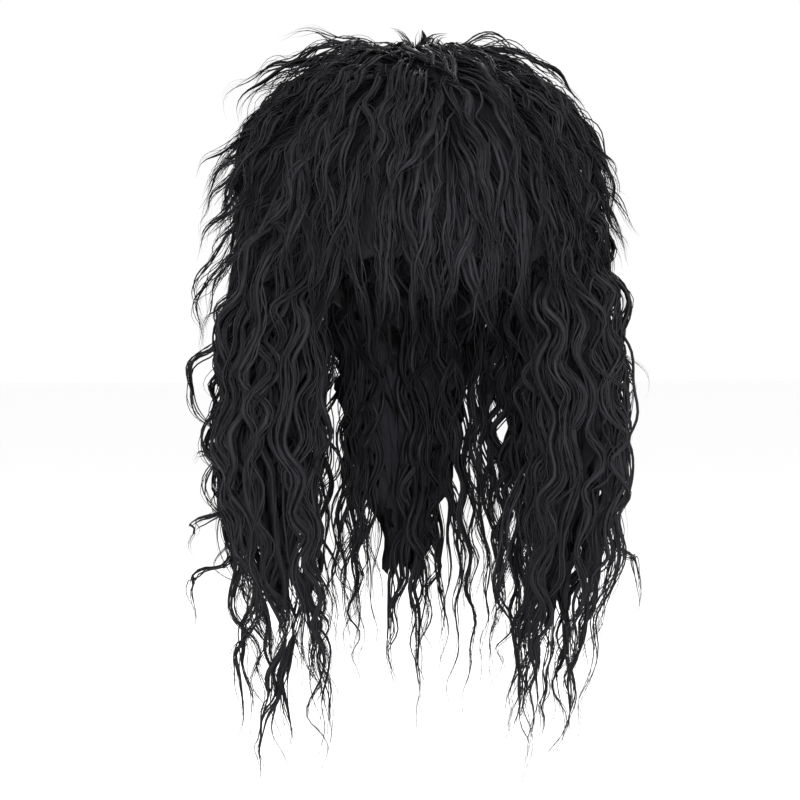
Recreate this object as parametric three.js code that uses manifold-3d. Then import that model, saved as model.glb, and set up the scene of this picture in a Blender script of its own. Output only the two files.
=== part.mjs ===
// A mullet wig of black wavy hair on a snug cap.
// Millimetres, +Z up, the face towards -Y, the wearer's left towards +X.
// The origin is where the top of the head touches the inside of the cap.
// The hair is in two tiers: short shaggy layers over the dome, and long waves that hang from under them.
import * as THREE from "three";
import { mergeVertices } from "three/addons/utils/BufferGeometryUtils.js";
import Module from "manifold-3d";

const wasm = await Module();
wasm.setup();

// The head and neck that the wig fits
const headBreadth = 154;
const headLength = 196;
const crownHeight = 105; // from the head's widest level up to its top
const lowerHeight = 150; // how far the same rounding would reach below that level
const headSetBack = 2; // the head's middle lies this far behind the origin
const neckWidth = 112;
const neckDepth = 118;

// Cap and edge band
const capDepth = 178; // from the top of the head down to the cap's rim at the nape
const capWall = 1.5;
const bandWall = 1;
const bandHeight = 14;
const bandClearance = 0.5;
const clearance = 0.3; // between pieces that rest on each other
const finest = 0.05; // the smallest detail that a cut leaves

// The hair as a whole
const crownVolume = 15; // how far the hair stands above the head
const hairWidth = 282; // at its widest, beside the shoulders
const hairFront = 124; // from the head's middle to the fringe
const hairBack = 128; // from the head's middle to the back
const hangLength = 381; // from the head's widest level down to the longest tips
const domeSquareness = 0.85; // 1 would be a plain ellipse seen from the front
const hankSquareness = 0.65; // 1 would be a plain ellipse seen from above
const lockWidth = 40; // the widest locks
const lockThickness = 22; // the thickest ones

// The waves in the hair
const waveLength = 78;
const shortSwing = 4;
const longSwing = 9;

// The corners of a lock's section, as shares of half its width and thickness
const lockCorners = [
  { across: 1, out: -0.3 },
  { across: 0, out: 1 },
  { across: -1, out: -0.3 },
];

// The cap's rim, as a share of capDepth, for turns in degrees from the face
const rimTable = [
  { turn: 0, depth: 0.33 },
  { turn: 40, depth: 0.37 },
  { turn: 62, depth: 0.56 },
  { turn: 80, depth: 0.76 },
  { turn: 98, depth: 0.69 },
  { turn: 125, depth: 0.86 },
  { turn: 150, depth: 0.97 },
  { turn: 180, depth: 1 },
];

// The outline of the hair below the head's widest level. Drop is a share of hangLength,
// width of half of hairWidth, front of hairFront and back of hairBack.
const outlineTable = [
  { drop: 0, width: 0.91, front: 1, back: 0.97 },
  { drop: 0.14, width: 0.93, front: 0.93, back: 1 },
  { drop: 0.23, width: 0.95, front: 0.8, back: 1 },
  { drop: 0.41, width: 1, front: 0.72, back: 1 },
  { drop: 0.585, width: 0.93, front: 0.65, back: 0.98 },
  { drop: 0.765, width: 0.79, front: 0.55, back: 0.92 },
  { drop: 1, width: 0.66, front: 0.42, back: 0.78 },
];

// How deep in the hair, from the head (0) to the outline (1), the long hair reaches under the short layers
const underlayTable = [
  { fall: 0.3, depth: 0.01 },
  { fall: 0.5, depth: 0.09 },
  { fall: 0.75, depth: 0.2 },
  { fall: 1, depth: 0.3 },
  { fall: 1.2, depth: 0.43 },
  { fall: 1.4, depth: 0.58 },
  { fall: 1.6, depth: 0.74 },
];
const underlayEnd = 1.7;

// The long hair beside the neck, as shares of the same sizes: its inner and outer faces,
// and how far it reaches ahead of the head's middle and behind it
const sideHankTable = [
  { drop: -0.12, inner: 0.28, outer: 0.62, front: 0.38, back: 0.42 },
  { drop: 0, inner: 0.42, outer: 0.76, front: 0.58, back: 0.6 },
  { drop: 0.12, inner: 0.44, outer: 0.87, front: 0.7, back: 0.72 },
  { drop: 0.22, inner: 0.46, outer: 0.94, front: 0.72, back: 0.73 },
  { drop: 0.41, inner: 0.48, outer: 0.99, front: 0.67, back: 0.68 },
  { drop: 0.585, inner: 0.455, outer: 0.93, front: 0.6, back: 0.56 },
  { drop: 0.765, inner: 0.42, outer: 0.8, front: 0.52, back: 0.4 },
  { drop: 1, inner: 0.42, outer: 0.7, front: 0.4, back: 0.22 },
];

// The long hair behind the neck: width is a share of half of hairWidth, near and far of hairBack
const backHankTable = [
  { drop: -0.08, width: 0.4, near: 0.5, far: 0.84 },
  { drop: 0, width: 0.56, near: 0.5, far: 0.9 },
  { drop: 0.14, width: 0.55, near: 0.48, far: 0.98 },
  { drop: 0.32, width: 0.48, near: 0.47, far: 1 },
  { drop: 0.45, width: 0.5, near: 0.5, far: 0.98 },
  { drop: 0.62, width: 0.6, near: 0.56, far: 0.98 },
  { drop: 0.82, width: 0.56, near: 0.62, far: 0.92 },
  { drop: 1, width: 0.44, near: 0.64, far: 0.84 },
];
const hankBody = 0.7; // the part of a hank's section that is one mass under its locks
const hankBodyEnd = 0.88; // where that mass ends, as a share of hangLength
const hankBodyTaper = 0.7; // how far down the mass it starts to narrow
const hankBodyTip = 0.4; // how much of its width is left at its end
const hankRoots = 0.45; // how far out in a hank's section its locks start
const hankLocksAt = 0.78; // how far out they run

// The short layers. Each covers a range of turns, in degrees from the face, and of falls, as
// fallHeight explains. A row of locks has the fall of its roots and tips, its depth in the hair, how far
// its tips flick out, and its locks' sizes as shares of lockWidth and lockThickness. A layer that is not
// on the cap lies on the long hair.
const shortLayers = [
  {
    name: "top_layer",
    turns: [0, 360],
    falls: [0.06, 0.4],
    onCap: true,
    rows: [
      { locks: 5, root: 0.08, tip: 0.42, depth: 0.84, flick: 0.12, width: 0.75, thickness: 0.55 },
      { locks: 8, root: 0.2, tip: 0.56, depth: 0.86, flick: 0.1, width: 0.85, thickness: 0.55 },
    ],
  },
  {
    name: "fringe",
    turns: [-50, 50],
    falls: [0.36, 1.3],
    onCap: true,
    rows: [
      { locks: 5, root: 0.5, tip: 1.16, depth: 0.82, flick: 0.25, width: 0.75, thickness: 0.5 },
      { locks: 6, root: 0.75, tip: 1.55, depth: 0.66, flick: 0, width: 0.7, thickness: 0.55 },
    ],
  },
  {
    name: "side_layer_left",
    turns: [52, 118],
    falls: [0.36, 1.36],
    onCap: false,
    rows: [
      { locks: 4, root: 0.42, tip: 1.02, depth: 0.86, flick: 0.3, width: 0.85, thickness: 0.55 },
      { locks: 5, root: 0.72, tip: 1.56, depth: 0.88, flick: 0.3, width: 0.75, thickness: 0.59 },
    ],
  },
  {
    name: "side_layer_right",
    turns: [-118, -52],
    falls: [0.36, 1.36],
    onCap: false,
    rows: [
      { locks: 4, root: 0.44, tip: 1.05, depth: 0.86, flick: 0.3, width: 0.85, thickness: 0.55 },
      { locks: 5, root: 0.7, tip: 1.52, depth: 0.88, flick: 0.3, width: 0.75, thickness: 0.59 },
    ],
  },
  {
    name: "back_layer",
    turns: [120, 240],
    falls: [0.36, 1.36],
    onCap: false,
    rows: [
      { locks: 5, root: 0.42, tip: 1.04, depth: 0.86, flick: 0.15, width: 0.95, thickness: 0.55 },
      { locks: 6, root: 0.72, tip: 1.55, depth: 0.88, flick: 0.2, width: 0.85, thickness: 0.59 },
    ],
  },
];
const layerMass = 0.78; // how deep the short layers are one mass under their locks

// The locks round each hank of long hair: their number, where they start and end, and their sizes
const longLocks = { count: 7, root: -0.02, tips: [0.9, 1], width: 1, thickness: 1 };
const backLocks = { count: 7, root: 0, tips: [0.9, 0.99], width: 1.05, thickness: 1 };

// How finely the solids are divided
const capColumns = 28;
const capRows = [0, 0.16, 0.36, 0.56, 0.76, 0.9, 1]; // as shares of the way down to the band
const underlayColumns = 18;
const layerColumns = 6;
const layerRows = 5;
const topColumns = 14;
const hankColumns = 8;
const hankRows = 7;
const shortSteps = 4;
const longSteps = 12;

const fullTurn = 2 * Math.PI;
const fallStep = 100; // one unit of fall below the widest level

const radians = (degrees) => (degrees * Math.PI) / 180;
const mix = (a, b, t) => a + (b - a) * t;
const smooth = (t) => t * t * (3 - 2 * t);

// A steady number from 0 to 1 for each lock, so that the locks differ
function vary(seed) {
  const wide = Math.sin(seed * 12.9898) * 43758.5453;
  return wide - Math.floor(wide);
}

// A row between the two rows of a table that lie either side of a value, eased from one to the other
function readTable(table, key, value) {
  const last = table.length - 1;
  const at = Math.min(Math.max(value, table[0][key]), table[last][key]);
  const above = Math.max(1, table.findIndex((row) => row[key] >= at));
  const [low, high] = [table[above - 1], table[above]];
  const share = (at - low[key]) / (high[key] - low[key]);
  return Object.fromEntries(Object.keys(low).map((name) => [name, mix(low[name], high[name], share)]));
}

// Fall is how far down a strand has come: 0 at the top, 1 at the head's widest level, then one more each
// fallStep. Drop is the share of hangLength below that level.
const fallHeight = (fall) => -crownHeight - (fall - 1) * fallStep;
const dropHeight = (drop) => -crownHeight - drop * hangLength;

function headRing(fall, offset) {
  const size = { width: headBreadth / 2 + offset, depth: headLength / 2 + offset };
  if (fall <= 1) {
    const angle = fall * radians(90);
    const z = (crownHeight + offset) * Math.cos(angle) - crownHeight;
    const depth = size.depth * Math.sin(angle);
    return ringOf(size.width * Math.sin(angle), depth, depth, z);
  }
  const z = fallHeight(fall);
  const below = Math.min(1, (z + crownHeight) / lowerHeight);
  const round = Math.sqrt(Math.max(0, 1 - below * below));
  const width = Math.max(size.width * round, neckWidth / 2);
  const depth = Math.max(size.depth * round, neckDepth / 2);
  return ringOf(width, depth, depth, z);
}

function hairRing(fall) {
  const drop = Math.max(0, ((fall - 1) * fallStep) / hangLength);
  const row = readTable(outlineTable, "drop", drop);
  const angle = Math.min(fall, 1) * radians(90);
  const round = Math.sin(angle) ** domeSquareness;
  const z = fall <= 1 ? (crownHeight + crownVolume) * Math.cos(angle) - crownHeight : fallHeight(fall);
  const width = (hairWidth / 2) * row.width * round;
  return ringOf(width, hairFront * row.front * round, hairBack * row.back * round, z);
}

const ringOf = (width, front, back, z) => ({ width, front, back, z });

function ringPoint(ring, turn) {
  const ahead = Math.cos(turn);
  const reach = ahead > 0 ? ring.front : ring.back;
  return new THREE.Vector3(ring.width * Math.sin(turn), headSetBack - reach * ahead, ring.z);
}

// The point at a turn and fall that lies between the cap (depth 0) and the outline of the hair (depth 1)
function hairPoint(turn, fall, depth) {
  const low = ringPoint(headRing(fall, capOffset), turn);
  return low.lerp(ringPoint(hairRing(fall), turn), depth);
}

// Offsets from the head to the faces of the band and the cap
const capInside = bandWall + bandClearance;
const capOffset = capInside + capWall + clearance;

// A closed solid through loops that have the same number of points, made larger all round by grow.
// A closed ring of loops joins its last to its first. Otherwise a strip of triangles closes each end.
function loft(loops, { closed = false, grow = 0 } = {}) {
  const sides = loops[0].length;
  const corners = [];
  const joins = closed ? loops.length : loops.length - 1;
  for (let loop = 0; loop < joins; loop++) {
    const next = (loop + 1) % loops.length;
    for (let side = 0; side < sides; side++) {
      const [a, b] = [loop * sides + side, loop * sides + ((side + 1) % sides)];
      const [c, d] = [next * sides + side, next * sides + ((side + 1) % sides)];
      corners.push(a, b, d, a, d, c);
    }
  }
  const ends = closed ? [] : [{ first: 0, flip: true }, { first: (loops.length - 1) * sides, flip: false }];
  for (const { first, flip } of ends) {
    for (let side = 0; side < sides / 2 - 1; side++) {
      const [a, b] = [first + side, first + side + 1];
      const [c, d] = [first + sides - 1 - side, first + sides - 2 - side];
      corners.push(...(flip ? [a, d, b, a, c, d] : [a, b, d, a, d, c]));
    }
  }
  const geometry = new THREE.BufferGeometry().setFromPoints(loops.flat());
  geometry.setIndex(corners);
  const merged = mergeVertices(geometry, 1e-4);
  const places = merged.attributes.position;
  const pointAt = (_, i) => new THREE.Vector3().fromBufferAttribute(places, i);
  const points = Array.from({ length: places.count }, pointAt);
  return solidFrom(points, facesOf(points, merged.index.array), grow);
}

// The triangles whose three corners all differ. A loop drawn together into one point gives some that don't.
function facesOf(points, corners) {
  const faces = [];
  for (let i = 0; i < corners.length; i += 3) {
    const [a, b, c] = corners.slice(i, i + 3);
    if (a !== b && b !== c && c !== a) faces.push([a, b, c]);
  }
  const volume = faces.reduce((sum, [a, b, c]) => sum + points[a].dot(points[b].clone().cross(points[c])), 0);
  return volume < 0 ? faces.map(([a, b, c]) => [a, c, b]) : faces;
}

const moveRounds = 30; // each round brings a point nearer to where all its faces have moved far enough
const farthestMove = 3; // how far a sharp corner may go, in times of grow

// How much further a face has to move to lie grow away from where it was
const growStep = (grow, done) => (grow > 0 ? Math.max(0, grow - done) : Math.min(0, grow - done));

// A solid from points and triangles, each point first moved out until its faces lie further out by grow
function solidFrom(points, faces, grow) {
  const around = points.map(() => []);
  for (const face of faces) {
    const [a, b, c] = face.map((corner) => points[corner]);
    const normal = b.clone().sub(a).cross(c.clone().sub(a)).normalize();
    for (const corner of face) around[corner].push(normal);
  }
  const moved = points.map((point, i) => {
    const move = new THREE.Vector3();
    for (let round = 0; grow !== 0 && round < moveRounds; round++) {
      for (const normal of around[i]) move.addScaledVector(normal, growStep(grow, normal.dot(move)));
    }
    return point.clone().add(move.clampLength(0, farthestMove * Math.abs(grow)));
  });
  return new wasm.Manifold(
    new wasm.Mesh({
      numProp: 3,
      vertProperties: new Float32Array(moved.flatMap((point) => point.toArray())),
      triVerts: new Uint32Array(faces.flat()),
    }),
  );
}

const sumOf = (solids) => solids.reduce((total, solid) => total.add(solid));

// The main body of a solid, without the loose slivers that a cut leaves
function mainBody(solid) {
  return solid.decompose().reduce((best, body) => (body.volume() > best.volume() ? body : best));
}

const turnsRound = (count) => Array.from({ length: count }, (_, i) => (i / count) * fullTurn);
const steps = (count) => Array.from({ length: count + 1 }, (_, i) => i / count);

// The fall at which the cap's rim lies
function rimFall(turn) {
  const fromFace = Math.abs(Math.atan2(Math.sin(turn), Math.cos(turn)));
  const depth = capDepth * readTable(rimTable, "turn", THREE.MathUtils.radToDeg(fromFace)).depth;
  if (depth > crownHeight) return 1 + (depth - crownHeight) / fallStep;
  return Math.acos((crownHeight - depth) / crownHeight) / radians(90);
}

// A point on the cap or band. The cap's inside comes down to touch the head at the top.
function capPoint(turn, fall, offset) {
  const point = ringPoint(headRing(fall, offset), turn);
  if (fall < 1) point.z -= capInside * Math.cos(fall * radians(90)) * (offset > 0 ? 1 : 0);
  return point;
}

// The fall of the band's top edge. On the dome one unit of fall is a quarter of the way round the head.
function bandFall(turn) {
  const rim = rimFall(turn);
  return rim - bandHeight / (rim > 1 ? fallStep : radians(90) * crownHeight);
}

// Loops of points over the cap at an offset from the head, from the top down to the rim
function capLoops(offset) {
  const turns = turnsRound(capColumns);
  return [
    ...capRows.map((share) => turns.map((turn) => capPoint(turn, share * bandFall(turn), offset))),
    turns.map((turn) => capPoint(turn, rimFall(turn), offset)),
  ];
}

function capDome() {
  return loft([...capLoops(capInside + capWall), ...capLoops(capInside).reverse()]);
}

function edgeBand() {
  const loops = turnsRound(capColumns).map((turn) => {
    const at = (fall, offset) => capPoint(turn, fall, offset);
    const [low, high] = [rimFall(turn), bandFall(turn)];
    return [at(low, bandWall), at(high, bandWall), at(high, 0), at(low, 0)];
  });
  return loft(loops, { closed: true });
}

// The room that the cap, the head and the neck take, which no hair enters
const neckFalls = [1.9, 2.2, 4.9];
function headRoom(offset) {
  const ringAt = (fall) => turnsRound(capColumns).map((turn) => capPoint(turn, fall, offset));
  return loft([...capLoops(offset), ...neckFalls.map(ringAt)]);
}

// A line of points with waves added, sideways and a little in and out, growing away from the root
function waved(points, swing, phase) {
  const last = points.length - 1;
  let run = 0;
  return points.map((point, i) => {
    const ahead = points[Math.min(i + 1, last)].clone().sub(points[Math.max(i - 1, 0)]).normalize();
    const outward = new THREE.Vector3(point.x, point.y - headSetBack, 0).normalize();
    const sideways = new THREE.Vector3().crossVectors(ahead, outward).normalize();
    if (i) run += point.distanceTo(points[i - 1]);
    const angle = (run / waveLength) * fullTurn + phase;
    const growth = Math.min(1, (3 * i) / last) * swing;
    return point
      .clone()
      .addScaledVector(sideways, growth * Math.sin(angle))
      .addScaledVector(outward, growth * 0.4 * Math.cos(angle));
  });
}

// A flat tapering lock along a line of points, its flat side turned to the head
const domeLift = 40; // how far a lock on the dome is tipped to face upwards too
const lockBelly = 0.35; // where a lock is widest, as a share of its length
const lockEnds = { root: 0.7, tip: 0.12 }; // its width there, as shares of the widest

function lock(points, width, thickness, grow) {
  const last = points.length - 1;
  const loops = points.map((point, i) => {
    const ahead = points[Math.min(i + 1, last)].clone().sub(points[Math.max(i - 1, 0)]).normalize();
    const outward = new THREE.Vector3(point.x, point.y - headSetBack, point.z > -crownHeight ? domeLift : 0);
    const sideways = new THREE.Vector3().crossVectors(ahead, outward).normalize();
    const up = new THREE.Vector3().crossVectors(sideways, ahead).normalize();
    const along = i / last;
    const past = Math.max(0, (along - lockBelly) / (1 - lockBelly));
    const taper = Math.max(lockEnds.tip, mix(lockEnds.root, 1, Math.min(1, along / lockBelly)) - past ** 2);
    return lockCorners.map(({ across, out }) =>
      point
        .clone()
        .addScaledVector(sideways, (taper * across * width * lockWidth) / 2)
        .addScaledVector(up, (taper * out * thickness * lockThickness) / 2),
    );
  });
  return loft(loops, { grow });
}

const isWhole = (layer) => layer.turns[1] - layer.turns[0] === 360;

// The mass of a short layer under its locks: a slab from the cap, or from the long hair, out to layerMass
function layerBody(layer, grow) {
  const [from, to] = layer.turns.map(radians);
  const falls = steps(layerRows).map((share) => mix(...layer.falls, share));
  if (isWhole(layer)) {
    const ringAt = (fall) => turnsRound(topColumns).map((turn) => hairPoint(turn, fall, layerMass));
    return loft(falls.map(ringAt), { grow });
  }
  const columns = steps(layerColumns).map((share) => mix(from, to, share));
  const loops = falls.map((fall, i) => {
    const inner = layer.onCap ? -0.05 : readTable(underlayTable, "fall", fall).depth;
    const outer = mix(inner, layerMass, i === falls.length - 1 ? 0.25 : 1);
    const outside = columns.map((turn) => hairPoint(turn, fall, outer));
    const inside = columns.map((turn) => hairPoint(turn, fall, inner)).reverse();
    return [...outside, ...inside];
  });
  return loft(loops, { grow });
}

// How much the short locks differ: in degrees where they start and as they run down, and in the fall
// of their tips
const lockScatter = { turn: 5, drift: 12, tip: 0.14 };

function layerLocks(layer, grow, seed) {
  return layer.rows.flatMap((row, level) =>
    Array.from({ length: row.locks }, (_, i) => {
      const own = seed + level * 31 + i;
      const place = (i + (isWhole(layer) ? level / 2 : 0.5)) / row.locks;
      const turn = radians(mix(...layer.turns, place) + (vary(own) - 0.5) * lockScatter.turn);
      const drift = radians((vary(own + 7) - 0.5) * lockScatter.drift);
      const tip = row.tip - vary(own + 3) * lockScatter.tip;
      const line = steps(shortSteps).map((along) => {
        const depth = mix(0.3, row.depth, smooth(Math.min(1, along * 2.5))) + row.flick * along ** 3;
        return hairPoint(turn + drift * along, mix(row.root, tip, along), depth);
      });
      return lock(waved(line, shortSwing, vary(own + 5) * fullTurn), row.width, row.thickness, grow);
    }),
  );
}

// Everything under the short layers: the long hair's room, which they lie on
function underlay(grow) {
  const falls = [...underlayTable.map((row) => row.fall), underlayEnd];
  const loops = falls.map((fall) => {
    const { depth } = readTable(underlayTable, "fall", fall);
    return turnsRound(underlayColumns).map((turn) => hairPoint(turn, fall, depth));
  });
  return loft(loops, { grow });
}

function shortLayer(layer, grow, seed) {
  const solid = sumOf([layerBody(layer, grow), ...layerLocks(layer, grow, seed)]);
  return layer.onCap ? solid : solid.subtract(underlay(-grow));
}

// One section of a hank of long hair, as the middle and half sizes of a rounded block
function sideSection(drop, side) {
  const row = readTable(sideHankTable, "drop", drop);
  return {
    x: (side * hairWidth * (row.inner + row.outer)) / 4,
    y: headSetBack + (hairBack * row.back - hairFront * row.front) / 2,
    z: dropHeight(drop),
    halfWidth: (hairWidth * (row.outer - row.inner)) / 4,
    halfDepth: (hairBack * row.back + hairFront * row.front) / 2,
  };
}

function backSection(drop) {
  const row = readTable(backHankTable, "drop", drop);
  return {
    x: 0,
    y: headSetBack + (hairBack * (row.near + row.far)) / 2,
    z: dropHeight(drop),
    halfWidth: (hairWidth * row.width) / 2,
    halfDepth: (hairBack * (row.far - row.near)) / 2,
  };
}

function sectionPoint(section, angle, reach) {
  const soft = (value) => Math.sign(value) * Math.abs(value) ** hankSquareness;
  const across = section.halfWidth * soft(Math.cos(angle)) * reach;
  const ahead = section.halfDepth * soft(Math.sin(angle)) * reach;
  return new THREE.Vector3(section.x + across, section.y + ahead, section.z);
}

function hank(sectionAt, start, locks, grow, seed) {
  const loops = steps(hankRows).map((share) => {
    const section = sectionAt(mix(start, hankBodyEnd, share));
    const close = mix(1, hankBodyTip, smooth(Math.max(0, share - hankBodyTaper) / (1 - hankBodyTaper)));
    return turnsRound(hankColumns).map((angle) => sectionPoint(section, angle, hankBody * close));
  });
  const strands = turnsRound(locks.count).map((angle, i) => {
    const own = seed + i;
    const tip = mix(...locks.tips, vary(own));
    const line = steps(longSteps).map((along) => {
      const reach = mix(hankRoots, hankLocksAt, smooth(Math.min(1, along * 4)));
      return sectionPoint(sectionAt(mix(locks.root, tip, along)), angle + vary(own + 2), reach);
    });
    return lock(waved(line, longSwing, vary(own + 4) * fullTurn), locks.width, locks.thickness, grow);
  });
  return sumOf([loft(loops, { grow }), ...strands]);
}

const hair = new THREE.MeshStandardMaterial({ color: 0x141417, roughness: 0.42, metalness: 0 });
const netting = new THREE.MeshStandardMaterial({ color: 0x101012, roughness: 0.85, metalness: 0 });
const elastic = new THREE.MeshStandardMaterial({ color: 0x0d0d0f, roughness: 0.75, metalness: 0 });

function meshOf(name, solid, material) {
  const { vertProperties, triVerts } = solid.getMesh();
  const geometry = new THREE.BufferGeometry();
  geometry.setAttribute("position", new THREE.BufferAttribute(vertProperties, 3));
  geometry.setIndex(new THREE.BufferAttribute(triVerts, 1));
  geometry.computeVertexNormals();
  const mesh = new THREE.Mesh(geometry, material);
  mesh.name = name;
  return mesh;
}

// Each piece of hair, with how to make it a little larger, so that the next ones can be cut to lie against it
const [sideStart, backStart] = [sideHankTable[0].drop, backHankTable[0].drop];
const leftSection = (drop) => sideSection(drop, 1);
const rightSection = (drop) => sideSection(drop, -1);
const hairPieces = [
  ...shortLayers.map((layer, i) => ({
    name: layer.name,
    make: (grow) => shortLayer(layer, grow, 100 * (i + 1)),
  })),
  { name: "long_left", make: (grow) => hank(leftSection, sideStart, longLocks, grow, 701) },
  { name: "long_right", make: (grow) => hank(rightSection, sideStart, longLocks, grow, 811) },
  { name: "long_back", make: (grow) => hank(backSection, backStart, backLocks, grow, 907) },
];

const wig = new THREE.Group();
wig.add(meshOf("cap_dome", capDome(), netting));
wig.add(meshOf("edge_band", edgeBand(), elastic));

const room = headRoom(capOffset);
const placed = [];
for (const piece of hairPieces) {
  const solid = [room, ...placed].reduce((left, other) => left.subtract(other), piece.make(0));
  wig.add(meshOf(piece.name, mainBody(solid.simplify(finest)), hair));
  placed.push(piece.make(clearance));
}

export default wig;
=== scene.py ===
"""Looks of the mullet wig: strands of hair swept along wavy guide lines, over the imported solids.

Metres, +Z up, the face towards -Y, the wearer's left towards +X. The origin is where the top of the
head touches the inside of the cap. The hair keeps the forms of the solids that it replaces: short
shaggy layers over the dome, and long waves that hang from under them.
"""

import math

import bmesh
import bpy
import numpy as np
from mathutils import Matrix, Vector


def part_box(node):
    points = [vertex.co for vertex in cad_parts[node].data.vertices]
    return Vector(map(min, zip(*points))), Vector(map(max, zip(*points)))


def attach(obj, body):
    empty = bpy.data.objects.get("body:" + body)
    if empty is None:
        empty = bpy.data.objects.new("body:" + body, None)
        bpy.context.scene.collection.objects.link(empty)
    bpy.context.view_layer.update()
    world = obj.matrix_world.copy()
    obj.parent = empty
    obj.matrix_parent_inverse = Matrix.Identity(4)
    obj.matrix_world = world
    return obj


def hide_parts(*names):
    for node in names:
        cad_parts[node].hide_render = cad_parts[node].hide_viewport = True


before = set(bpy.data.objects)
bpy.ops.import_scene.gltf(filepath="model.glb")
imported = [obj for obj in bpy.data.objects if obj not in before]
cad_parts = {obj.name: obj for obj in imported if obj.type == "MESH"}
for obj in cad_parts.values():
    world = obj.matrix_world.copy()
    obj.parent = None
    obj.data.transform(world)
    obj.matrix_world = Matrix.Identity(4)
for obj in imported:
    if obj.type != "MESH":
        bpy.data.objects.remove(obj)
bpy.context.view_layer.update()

MM = 0.001
QUARTER = math.pi / 2
FULL = 2 * math.pi

# Sizes read from the frame
cap_low, cap_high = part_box("cap_dome")
hank_low, hank_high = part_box("long_left")
crown_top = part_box("top_layer")[1].z
CAP_WIDTH = (cap_high.x - cap_low.x) / 2
CAP_DEPTH = cap_high.y
HAIR_WIDTH = hank_high.x
HANG_END = hank_low.z

# The head's widest level, and the forms of head and hair round it
WIDEST = -105 * MM
SET_BACK = 2 * MM
LOWER_HEIGHT = 150 * MM
NECK_WIDTH = 57 * MM
NECK_DEPTH = 60 * MM
HAIR_FRONT = 124 * MM
HAIR_BACK = 128 * MM
DOME_SQUARENESS = 0.85
HANK_SQUARENESS = 0.65
HANG_LENGTH = WIDEST - HANG_END

# How far down a place is: a fall of 0 is the crown, 1 the widest level, and each 1 more is FALL_STEP below
FALL_STEP = 100 * MM

# The strands' chart has a strip for each tone across it. The last strip is for the dark masses inside.
TONES = 16

# The outline of the hair below the widest level. Drop is a share of HANG_LENGTH, width of HAIR_WIDTH,
# front of HAIR_FRONT and back of HAIR_BACK.
OUTLINE = {
    "drop": (0, 0.14, 0.23, 0.41, 0.585, 0.765, 1),
    "width": (0.91, 0.93, 0.95, 1, 0.93, 0.79, 0.66),
    "front": (1, 0.93, 0.8, 0.72, 0.65, 0.55, 0.42),
    "back": (0.97, 1, 1, 1, 0.98, 0.92, 0.78),
}

# Sections of the long hair beside the neck, as shares of the same sizes
SIDE_HANK = {
    "drop": (-0.12, 0, 0.12, 0.22, 0.41, 0.585, 0.765, 1),
    "inner": (0.28, 0.42, 0.44, 0.46, 0.48, 0.455, 0.42, 0.42),
    "outer": (0.62, 0.76, 0.87, 0.94, 0.99, 0.93, 0.8, 0.7),
    "front": (0.38, 0.58, 0.7, 0.72, 0.67, 0.6, 0.52, 0.4),
    "back": (0.42, 0.6, 0.72, 0.73, 0.68, 0.56, 0.4, 0.22),
}

# Sections of the long hair behind the neck
BACK_HANK = {
    "drop": (-0.08, 0, 0.14, 0.32, 0.45, 0.62, 0.82, 1),
    "width": (0.4, 0.56, 0.55, 0.48, 0.5, 0.6, 0.56, 0.44),
    "near": (0.5, 0.5, 0.48, 0.47, 0.5, 0.56, 0.62, 0.64),
    "far": (0.84, 0.9, 0.98, 1, 0.98, 0.98, 0.92, 0.84),
}

# The middle line of the hair between them, behind the shoulder
CORNER = {
    "drop": (-0.12, 0, 0.15, 0.4, 0.7, 1),
    "across": (0.42, 0.48, 0.52, 0.53, 0.52, 0.5),
    "behind": (0.42, 0.58, 0.7, 0.72, 0.68, 0.6),
}
CORNER_SIZE = 20 * MM


def read(table, at):
    """The columns of a table at some values of its first one, straight between its rows."""
    first, *others = table.values()
    return [np.interp(at, first, other) for other in others]


def mix(a, b, t):
    return a + (b - a) * t


def smooth(t):
    t = np.clip(t, 0, 1)
    return t * t * (3 - 2 * t)


def unit(vectors):
    return vectors / np.maximum(np.linalg.norm(vectors, axis=-1, keepdims=True), 1e-9)


def spread_evenly(count, low, high, rng, jitter=0.5):
    """Values from low to high, one in each of count equal parts, moved about inside it."""
    return low + (np.arange(count) + 0.5 + jitter * rng.uniform(-0.5, 0.5, count)) * (high - low) / count


def round_point(turn, width, depth, fall, dome):
    """A point at a turn from the face. Its height is the dome's, and below the widest level the fall's."""
    z = np.where(fall <= 1, dome, WIDEST - (fall - 1) * FALL_STEP)
    return np.stack([width * np.sin(turn), SET_BACK - depth * np.cos(turn), z], axis=-1)


def head_share(fall):
    """How wide the head is at a fall, as a share of its widest level, and the angle down to there."""
    angle = np.minimum(fall, 1) * QUARTER
    below = np.clip((fall - 1) * FALL_STEP / LOWER_HEIGHT, 0, 1)
    return np.where(fall <= 1, np.sin(angle), np.sqrt(1 - below**2)), angle


def head_point(turn, fall):
    """A point on the outside of the cap, or of the neck below it."""
    share, angle = head_share(fall)
    width = np.where(fall <= 1, CAP_WIDTH * share, np.maximum(CAP_WIDTH * share, NECK_WIDTH))
    depth = np.where(fall <= 1, CAP_DEPTH * share, np.maximum(CAP_DEPTH * share, NECK_DEPTH))
    return round_point(turn, width, depth, fall, WIDEST - (WIDEST - cap_high.z) * np.cos(angle))


def outline_point(turn, fall):
    """A point on the outline of the hair."""
    drop = np.maximum(0, (fall - 1) * FALL_STEP / HANG_LENGTH)
    angle = np.minimum(fall, 1) * QUARTER
    share = np.sin(angle) ** DOME_SQUARENESS
    width, front, back = read(OUTLINE, drop)
    depth = np.where(np.cos(turn) > 0, HAIR_FRONT * front * share, HAIR_BACK * back * share)
    dome = WIDEST + (crown_top - WIDEST) * np.cos(angle)
    return round_point(turn, HAIR_WIDTH * width * share, depth, fall, dome)


def hair_point(turn, fall, depth):
    """A point between the cap, at depth 0, and the outline of the hair, at depth 1."""
    depth = np.asarray(depth)[..., None]
    return head_point(turn, fall) * (1 - depth) + outline_point(turn, fall) * depth


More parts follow.
